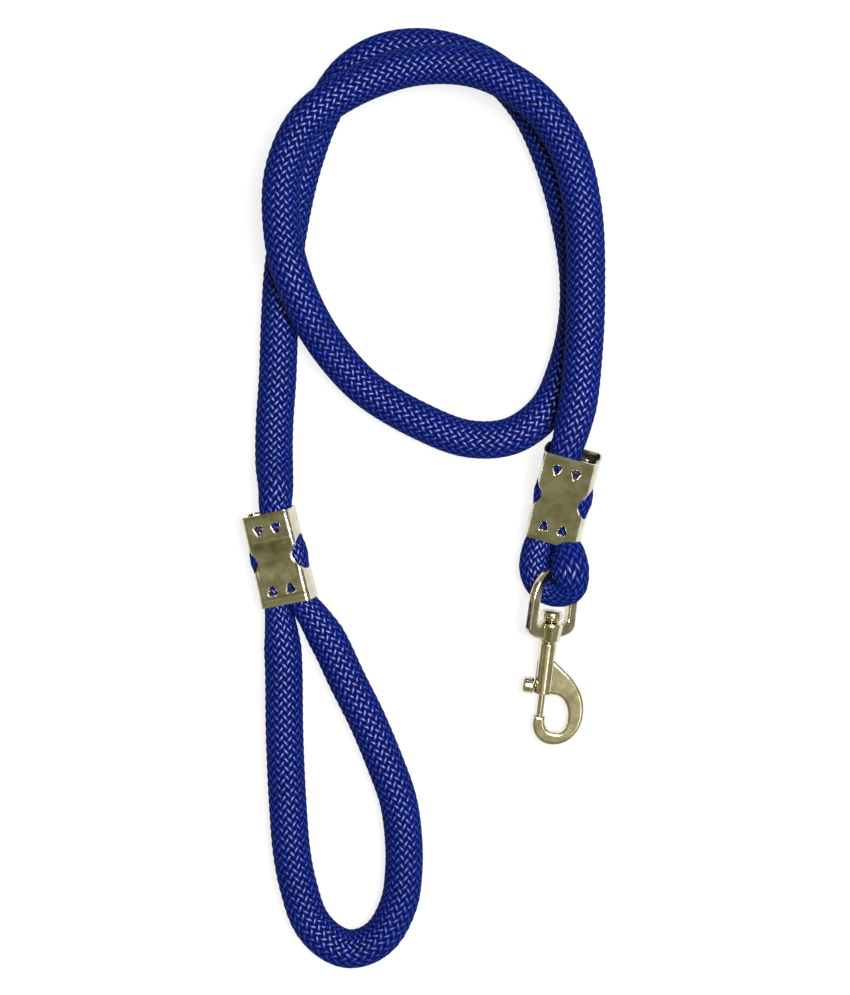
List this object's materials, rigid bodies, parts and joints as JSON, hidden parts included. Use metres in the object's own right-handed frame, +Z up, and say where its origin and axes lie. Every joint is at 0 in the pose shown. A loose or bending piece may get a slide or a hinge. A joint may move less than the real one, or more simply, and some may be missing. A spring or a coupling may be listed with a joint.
{
  "type": "lead rope",
  "caption": "Short braided lead rope, coiled flat, with a crimped hand loop at one end and a swivel-eye bolt snap held by a second crimped ferrule.",
  "frame": {"origin": "middle of the laid-out lead's footprint, on the surface it lies on", "axes": "+Z up from the surface; +Y from the hand loop towards the coil; +X from the handle side towards the snap side"},
  "size_m": [0.1652, 0.4306, 0.0364],
  "materials": {
    "rope": "royal blue braided polypropylene, satin",
    "ferrule_sheet": "bright nickel-plated sheet steel",
    "snap_metal": "warm nickel-plated die casting",
    "spring_wire": "spring wire"
  },
  "bodies": {
    "rope": {"rope_hand_loop": "rope", "rope_coil": "rope", "rope_eye_loop": "rope", "handle_ferrule": "ferrule_sheet", "handle_crimp_main_strand": "rope", "handle_crimp_tail_strand": "rope", "snap_ferrule": "ferrule_sheet", "snap_crimp_main_strand": "rope", "snap_crimp_tail_strand": "rope"},
    "eye": {"swivel_eye": "snap_metal"},
    "hook": {"swivel_post": "snap_metal", "snap_body": "snap_metal", "bolt_spring": "spring_wire"},
    "bolt": {"snap_bolt": "snap_metal", "thumb_knob": "snap_metal"}
  },
  "joints": [
    {"name": "eye_swing", "type": "hinge", "parent": "rope", "child": "eye", "pos_m": [0.062, -0.0439, 0.0129], "axis": [-0.6272, 0.1734, -0.7593], "range_deg": [0, 60]},
    {"name": "hook_swivel", "type": "hinge", "parent": "eye", "child": "hook", "pos_m": [0.0586, -0.066, 0.00945], "axis": [0.1122, 0.9848, 0.1323], "continuous": true},
    {"name": "bolt_slide", "type": "slide", "parent": "hook", "child": "bolt", "axis": [0.1122, 0.9848, 0.1323], "range_m": [0, 0.0105], "stiffness_N_per_m": 400, "springref_m": -0.01, "deforming": ["bolt_spring"]}
  ]
}
